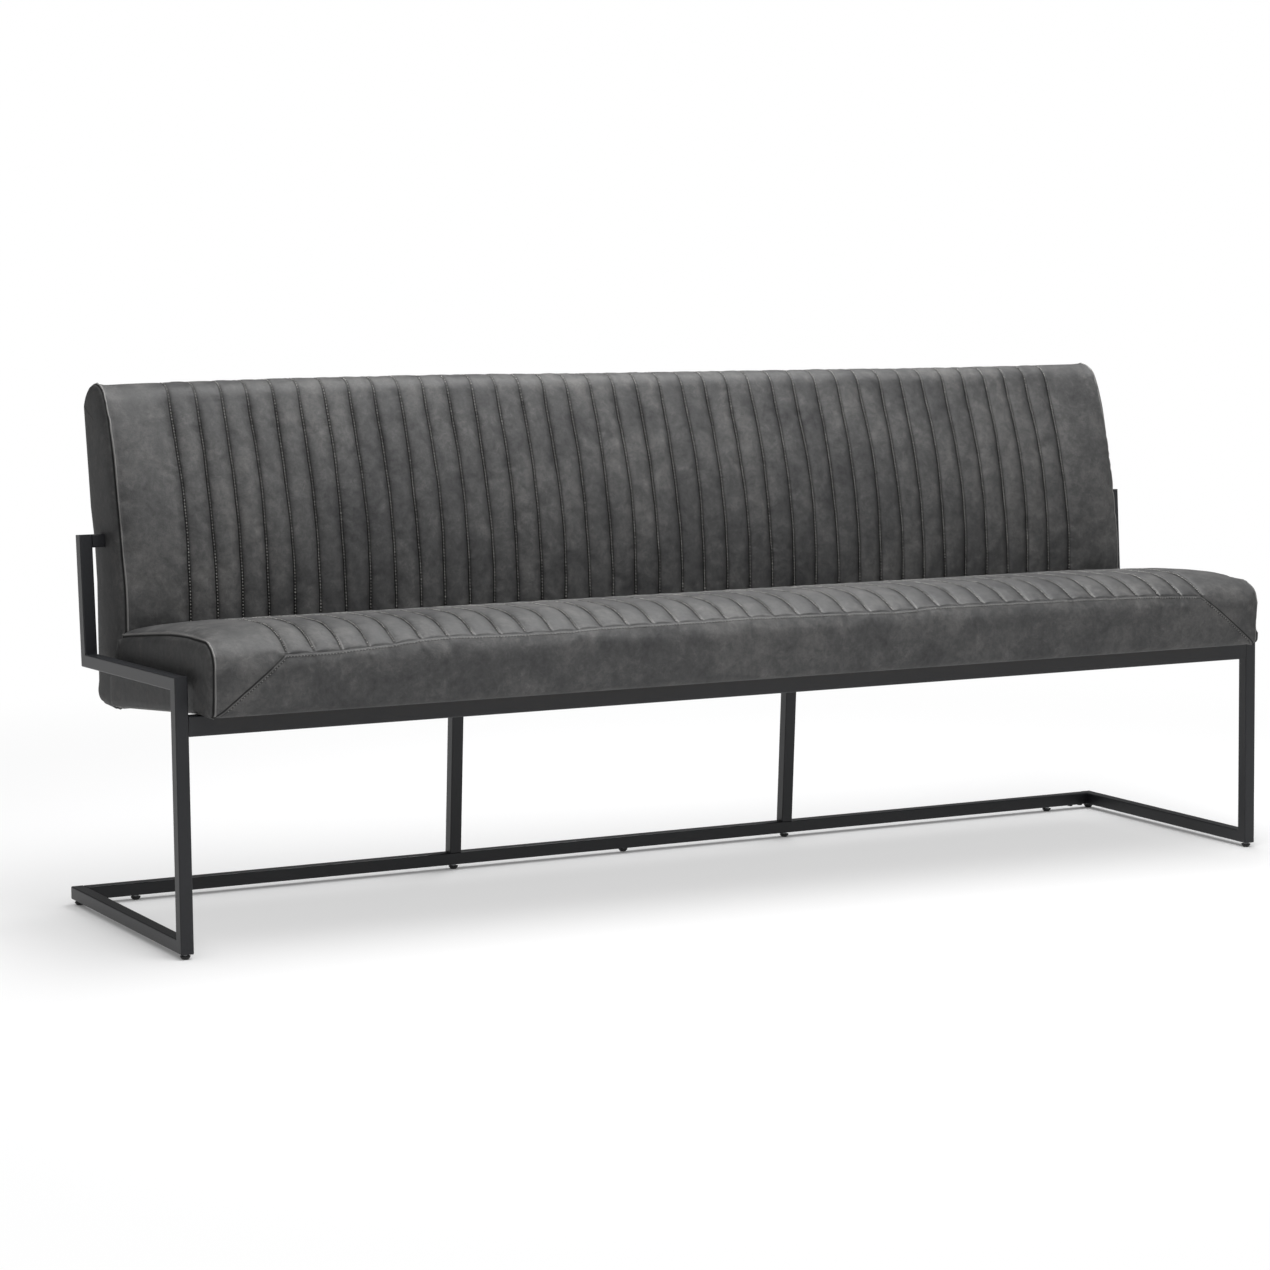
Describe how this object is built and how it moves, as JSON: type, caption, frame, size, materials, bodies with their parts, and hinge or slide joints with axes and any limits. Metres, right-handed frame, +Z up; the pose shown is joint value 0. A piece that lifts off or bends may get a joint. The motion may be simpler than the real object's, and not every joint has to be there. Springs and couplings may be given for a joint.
{
  "type": "upholstered dining bench with back",
  "caption": "Long dining sofa with a channel-stitched seat and curved backrest on a welded square-tube frame with levelling glides.",
  "frame": {"origin": "on the floor, under the middle of the outline", "axes": "+X along the bench's length, to the right as seen from the front; the front faces -Y; +Z up"},
  "size_m": [1.92, 0.5376, 0.8009],
  "materials": {
    "steel_frame": "satin dark grey powder coat",
    "leather_cover": "mottled anthracite, waxed",
    "plywood": "raw",
    "fixings": "zinc plated",
    "dark_screws": "black",
    "dust_cloth": "matte black non-woven",
    "glide_plastic": "black nylon"
  },
  "bodies": {
    "frame": {"left_floor_rail": "steel_frame", "left_front_leg": "steel_frame", "left_seat_rail": "steel_frame", "left_back_upright": "steel_frame", "left_rear_post": "steel_frame", "right_floor_rail": "steel_frame", "right_front_leg": "steel_frame", "right_seat_rail": "steel_frame", "right_back_upright": "steel_frame", "right_rear_post": "steel_frame", "floor_rail_end_caps": "steel_frame", "upright_end_caps": "steel_frame", "front_seat_rail": "steel_frame", "rear_floor_rail": "steel_frame", "back_cross_rail": "steel_frame", "rear_seat_rail": "steel_frame", "rear_rail_spigots": "fixings", "spigot_screws": "dark_screws", "threaded_inserts": "fixings", "seat_board": "plywood", "back_board": "plywood", "seat_bolts": "fixings", "seat_tee_nuts": "fixings", "back_rail_clips": "fixings", "back_clip_screws": "fixings", "underside_cloth": "dust_cloth", "seat_foam": "leather_cover", "seat_channel_panel": "leather_cover", "seat_side_panels": "leather_cover", "back_foam": "leather_cover", "back_channel_panel": "leather_cover", "back_side_panels": "leather_cover"},
    "glide_front_left": {"glide_pad_front_left": "glide_plastic", "glide_stud_front_left": "fixings"},
    "glide_front_right": {"glide_pad_front_right": "glide_plastic", "glide_stud_front_right": "fixings"},
    "glide_rear_left": {"glide_pad_rear_left": "glide_plastic", "glide_stud_rear_left": "fixings"},
    "glide_rear_right": {"glide_pad_rear_right": "glide_plastic", "glide_stud_rear_right": "fixings"},
    "glide_rail_outer_left": {"glide_pad_rail_outer_left": "glide_plastic", "glide_stud_rail_outer_left": "fixings"},
    "glide_rail_inner_left": {"glide_pad_rail_inner_left": "glide_plastic", "glide_stud_rail_inner_left": "fixings"},
    "glide_rail_centre": {"glide_pad_rail_centre": "glide_plastic", "glide_stud_rail_centre": "fixings"},
    "glide_rail_inner_right": {"glide_pad_rail_inner_right": "glide_plastic", "glide_stud_rail_inner_right": "fixings"},
    "glide_rail_outer_right": {"glide_pad_rail_outer_right": "glide_plastic", "glide_stud_rail_outer_right": "fixings"}
  },
  "joints": [
    {"name": "glide_front_left_turn", "type": "hinge", "parent": "frame", "child": "glide_front_left", "pos_m": [-0.95, -0.21401, 0], "axis": [0, 0, 1], "range_deg": [-2160, 648]},
    {"name": "glide_front_right_turn", "type": "hinge", "parent": "frame", "child": "glide_front_right", "pos_m": [0.95, -0.21401, 0], "axis": [0, 0, 1], "range_deg": [-2160, 648]},
    {"name": "glide_rear_left_turn", "type": "hinge", "parent": "frame", "child": "glide_rear_left", "pos_m": [-0.95, 0.23799, 0], "axis": [0, 0, 1], "range_deg": [-2160, 648]},
    {"name": "glide_rear_right_turn", "type": "hinge", "parent": "frame", "child": "glide_rear_right", "pos_m": [0.95, 0.23799, 0], "axis": [0, 0, 1], "range_deg": [-2160, 648]},
    {"name": "glide_rail_outer_left_turn", "type": "hinge", "parent": "frame", "child": "glide_rail_outer_left", "pos_m": [-0.859, 0.23799, 0], "axis": [0, 0, 1], "range_deg": [-2160, 648]},
    {"name": "glide_rail_inner_left_turn", "type": "hinge", "parent": "frame", "child": "glide_rail_inner_left", "pos_m": [-0.31333, 0.23799, 0], "axis": [0, 0, 1], "range_deg": [-2160, 648]},
    {"name": "glide_rail_centre_turn", "type": "hinge", "parent": "frame", "child": "glide_rail_centre", "pos_m": [0, 0.23799, 0], "axis": [0, 0, 1], "range_deg": [-2160, 648]},
    {"name": "glide_rail_inner_right_turn", "type": "hinge", "parent": "frame", "child": "glide_rail_inner_right", "pos_m": [0.31333, 0.23799, 0], "axis": [0, 0, 1], "range_deg": [-2160, 648]},
    {"name": "glide_rail_outer_right_turn", "type": "hinge", "parent": "frame", "child": "glide_rail_outer_right", "pos_m": [0.859, 0.23799, 0], "axis": [0, 0, 1], "range_deg": [-2160, 648]}
  ]
}
